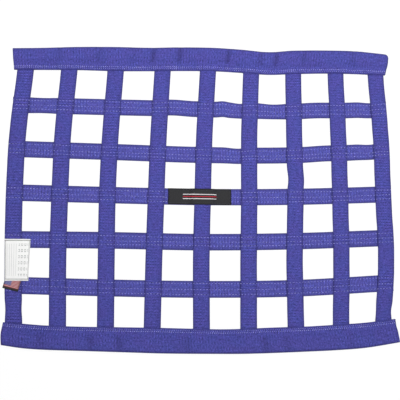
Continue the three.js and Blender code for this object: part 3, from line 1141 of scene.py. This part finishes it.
def spread(low, high, step):
    """Evenly spread places from low to high, about one step apart."""
    count = max(round((high - low) / step), 1)
    return [lerp(low, high, k / count) for k in range(count + 1)]


def label_mesh(name, label, point_at, step):
    """A label's cloth, from left to right."""
    half_width, half_length = label["width"] / 2, label["length"] / 2
    ring_places = spread(-half_length + LABEL_EDGE, half_length - LABEL_EDGE, step)
    ring = webbing_ring(label["length"], ring_places)
    stations = spread(-half_width, half_width, step)
    rings = []
    for along in stations:
        to_side = half_width - abs(along)
        placed = []
        for across, share in ring:
            to_edge = min(to_side, half_length - abs(across))
            # Shade is painted near the label's edges.
            placed.append((point_at(along, across, share), across, rim_shade(to_edge + LABEL_RIM)))
        rings.append(placed)
    return woven_mesh(name, rings, stations)


def frame_rows(label, point_at, inset, raised, sides="all"):
    """The rows of sewing round a label, or along its two ends across only."""
    half_width = label["width"] / 2 - inset
    half_length = label["length"] / 2 - inset
    along = spread(-half_width, half_width, LABEL_STEP)
    across = spread(-half_length, half_length, LABEL_STEP)
    rows = [[point_at(place, side, 1) for place in along] for side in (half_length, -half_length)]
    if sides == "all":
        for side in (half_width, -half_width):
            rows.append([point_at(side, place, 1) for place in across])
    return [[point + Vector((0, 0, raised)) for point in row] for row in rows]


def patch_finish():
    """Black satin weave, with a white, a red and a white line woven into it."""
    material, graph = new_finish("patch cloth")
    place, along, across = graph.cloth_places()
    twill = ((along + across) / TWILL).wave()
    yarns = (across / PATCH_YARN).wave()
    relief = (twill + yarns) * 0.25 + 0.5
    grain = graph.noise(place, 480.0)
    inside = abs(along) < LINE_LENGTH / 2
    colour = graph.scale((0.0185, 0.0185, 0.0215), (0.7 + 0.3 * relief) * (0.3 + 1.4 * grain))
    for middle, yarn in PATCH_LINES:
        line = inside * (abs(across - middle) < LINE_WIDTH / 2)
        colour = graph.mix(line, colour, yarn)
    # The attribute shade darkens the patch with painted shade near its edges.
    finish_surface(graph, {
        "Base Color": graph.scale(colour, graph.shade()),
        "Roughness": 0.62 + 0.15 * grain,
        "Specular IOR Level": 0.35,
        "Normal": graph.bump(0.5, 0.0001, relief),
    })
    return material


patch_point = label_shape(PATCH, patch_level)
patch_rows = frame_rows(PATCH, patch_point, LABEL_HEM, PATCH_STITCH_LIFT)
black_thread = thread_finish("black thread", (0.05, 0.05, 0.055, 1), (0.015, 0.015, 0.018, 1))
patch_sewing = sew("patch_sewing", patch_rows, black_thread, LABEL_STITCH)
place_piece(
    label_mesh("patch", PATCH, patch_point, LABEL_STEP),
    node="centre_patch",
    material=patch_finish(),
    flat=(PATCH["width"], PATCH["length"]),
)

# Tag
# A white coated tag, sewn down along its upper and lower edge over the left upright. It stands
# out over the opening beside the strap, where it droops, and its lower end lies on the flag
# tab. It is blank but for grey ruled lines and a table of empty boxes, like a form.
TAG = {"width": 0.0368, "length": 0.0638, "x": -0.2822, "y": -0.1014, "turn": 0.4, "taper": 1.6}
TAB_TOP = -0.118
TAG_RAMP = 0.022
TAG_DROOP = 0.0009
TAG_STEP = 0.0012
TAG_HEM = 0.0026
TAG_STITCH_LIFT = 0.00006
# How far to each side of a hem its line of painted shadow reaches.
HEM_SHADOW = 0.00042

# The print: a line in from each side, then the ruled lines and the boxes, each from one place
# across the tag to another and ending short of its hems. A box is a share of its pitch.
SIDE_LINE = (0.0014, 0.00064)
RULE_PITCH = 0.0033
RULE_WIDTH = 0.00036
RULED = (-0.0150, 0.0008)
RULED_END = 0.0075
BOX_PITCH = (0.0046, 0.0094)
BOX_SIZE = (0.55, 0.45)
BOX_LINE = 0.2
BOXED = (0.0018, 0.0156)
BOXED_END = 0.0070
PRINT_AND_SHADOW_GREY = (0.08, 0.08, 0.08, 1)


def tag_level(x, y):
    """The height of the tag's underside."""
    over_tab = (LABEL_CLOTH + GAP) * (1 - smoothstep(y, TAB_TOP, TAB_TOP + TAG_RAMP))
    strap_edge = upright_lines[0](y) + STRAP_WIDTH / 2
    droop = smoothstep(x, strap_edge + PAST_EDGE, TAG["x"] + TAG["width"] / 2)
    return OVER_LEVEL + over_tab - TAG_DROOP * droop


def tag_finish():
    """White coated cloth, printed in fine grey lines: one down each side, ruled lines on the left
    half and a table of empty boxes on the right. A line of painted shadow runs along each of its
    two hems."""
    material, graph = new_finish("tag cloth")
    place, along, across = graph.cloth_places()
    to_side = abs(along) - TAG["width"] / 2
    to_end = abs(across) - TAG["length"] / 2
    border = (abs(to_side + SIDE_LINE[0]) < SIDE_LINE[1] / 2) * (to_end < -TAG_HEM)
    rule = along.off_middle(RULE_PITCH) * RULE_PITCH < RULE_WIDTH / 2
    ruled = rule * (to_end < -RULED_END) * (along > RULED[0]) * (along < RULED[1])
    box_along = along.off_middle(BOX_PITCH[0]) * 2 - BOX_SIZE[0]
    box_across = across.off_middle(BOX_PITCH[1]) * 2 - BOX_SIZE[1]
    outline = abs(box_along.math("MAXIMUM", box_across) + BOX_LINE / 2) < BOX_LINE / 2
    boxes = outline * (to_end < -BOXED_END) * (along > BOXED[0]) * (along < BOXED[1])
    # The painted shadow line along each hem, laid in with the print's grey.
    hem_shadow = abs(to_end + TAG_HEM) < HEM_SHADOW
    grain = graph.noise(place, 1400.0)
    smudge = graph.noise(place, 90.0)
    wear_and_shade = 0.35 + 1.1 * smudge
    print_lines = (ruled * 0.62).math("MAXIMUM", boxes * 0.72).math("MAXIMUM", border * 0.85)
    print_and_shadow = (print_lines * wear_and_shade).math("MAXIMUM", hem_shadow * (0.1 + 1.6 * smudge)).math("MINIMUM", 1)
    white = graph.scale((0.94, 0.94, 0.935), 0.94 + 0.08 * smudge)
    # Painted shade near the tag's edges, from the attribute shade, a tenth as deep.
    finish_surface(graph, {
        "Base Color": graph.scale(graph.mix(print_and_shadow, white, PRINT_AND_SHADOW_GREY), graph.shade() * 0.1 + 0.9),
        "Roughness": 0.42 + 0.15 * grain,
        "Normal": graph.bump(0.25, 0.00008, grain),
    })
    return material


tag_point = label_shape(TAG, tag_level)
tag_rows = frame_rows(TAG, tag_point, TAG_HEM, TAG_STITCH_LIFT, sides="ends")
grey_thread = thread_finish("grey thread", (0.16, 0.16, 0.17, 1), (0.06, 0.06, 0.065, 1))
tag_sewing = sew("tag_sewing", tag_rows, grey_thread, LABEL_STITCH)

# Flag tab
# A small woven label with the flag of the country that the net was made in, on a black base
# strip. It was sewn on turned, with its upper end under the tag.
TAB = {"width": 0.024, "length": 0.025, "x": -0.2882, "y": -0.1348, "turn": -14}
FLAG_FOOT = -0.0090
STRIPE = 0.001
CANTON_FOOT = 3
CANTON_WIDTH = 0.0110
DOT_PITCH = 0.0014
DOT = 0.2
TAB_YARN = 0.00055


def flag_finish():
    """Red and white woven stripes with a blue canton of small white dots."""
    material, graph = new_finish("flag tab cloth")
    place, along, across = graph.cloth_places()
    from_side = along + TAB["width"] / 2
    from_foot = across - FLAG_FOOT
    height = from_foot / STRIPE
    red = (height.math("FLOOR") % 2) < 0.5
    stripes = graph.mix(red, (0.62, 0.42, 0.44, 1), (0.42, 0.045, 0.055, 1))
    canton = (from_side < CANTON_WIDTH) * (height > CANTON_FOOT)
    dots = (from_side.off_middle(DOT_PITCH) < DOT) * (from_foot.off_middle(DOT_PITCH) < DOT)
    field = graph.mix(dots, (0.11, 0.11, 0.34, 1), (0.50, 0.50, 0.64, 1))
    flag = graph.mix(canton, stripes, field)
    colour = graph.mix(across < FLAG_FOOT, flag, (0.022, 0.020, 0.020, 1))
    yarns = (along / TAB_YARN).wave() * 0.5 + 0.5
    grain = graph.noise(place, 1500.0)
    # Painted shade near the tab's edges, from the attribute shade, times the yarns' grain.
    wear_and_shade = graph.shade() * (0.85 + 0.2 * grain) * (0.88 + 0.12 * yarns)
    finish_surface(graph, {
        "Base Color": graph.scale(colour, wear_and_shade),
        "Roughness": 0.6 + 0.2 * grain,
        "Normal": graph.bump(0.5, 0.0001, yarns),
    })
    return material


tab_point = label_shape(TAB, lambda x, y: OVER_LEVEL)
place_piece(
    label_mesh("flag_tab_label", TAB, tab_point, LABEL_STEP),
    node="flag_tab",
    material=flag_finish(),
    flat=(TAB["width"], TAB["length"]),
)
place_piece(
    label_mesh("tag", TAG, tag_point, TAG_STEP),
    node="side_tag",
    material=tag_finish(),
    flat=(TAG["width"], TAG["length"]),
)

# Table and light
# The net lies on a white table that is lit to pure white. One broad soft light hangs past the
# net's upper right corner and points almost straight down, and the room's even light comes from
# all round.
TABLE_REACH = 3.0
TABLE_LEVEL = -0.0002
TABLE_GLOW = 0.87
LIGHT_PLACE = Vector((0.30, 0.45, 1.8))
LIT_SPOT = Vector((0.12, 0.45, 0.0))
LIGHT_SIZE = 1.8
LIGHT_POWER = 6.4
LIGHT_SPREAD = math.radians(50)
ROOM_LIGHT = 0.405
table_mesh = bpy.data.meshes.new("table")
corners = [(-1, -1), (1, -1), (1, 1), (-1, 1)]
table_points = [(x * TABLE_REACH, y * TABLE_REACH, TABLE_LEVEL) for x, y in corners]
table_mesh.from_pydata(table_points, [], [range(4)])
table = add_object("table", table_mesh)
table_white, table_graph = new_finish("table white")
finish_surface(table_graph, {
    "Base Color": (0.16, 0.16, 0.16, 1),
    "Roughness": 0.9,
    "Specular IOR Level": 0.1,
    "Emission Color": (1, 1, 1, 1),
    "Emission Strength": TABLE_GLOW,
})
table_mesh.materials.append(table_white)

light = add_object("soft light", bpy.data.lights.new("soft light", "AREA"))
light.data.shape = "DISK"
light.data.size = LIGHT_SIZE
light.data.energy = LIGHT_POWER
light.data.spread = LIGHT_SPREAD
light.location = LIGHT_PLACE
light.rotation_mode = "QUATERNION"
light.rotation_quaternion = (LIT_SPOT - LIGHT_PLACE).to_track_quat("-Z", "Y")

room = bpy.data.worlds.new("room")
room.use_nodes = True
room_air = room.node_tree.nodes["Background"]
room_air.inputs["Color"].default_value = (1, 1, 1, 1)
room_air.inputs["Strength"].default_value = ROOM_LIGHT
bpy.context.scene.world = room
bpy.context.scene.view_settings.view_transform = "Standard"
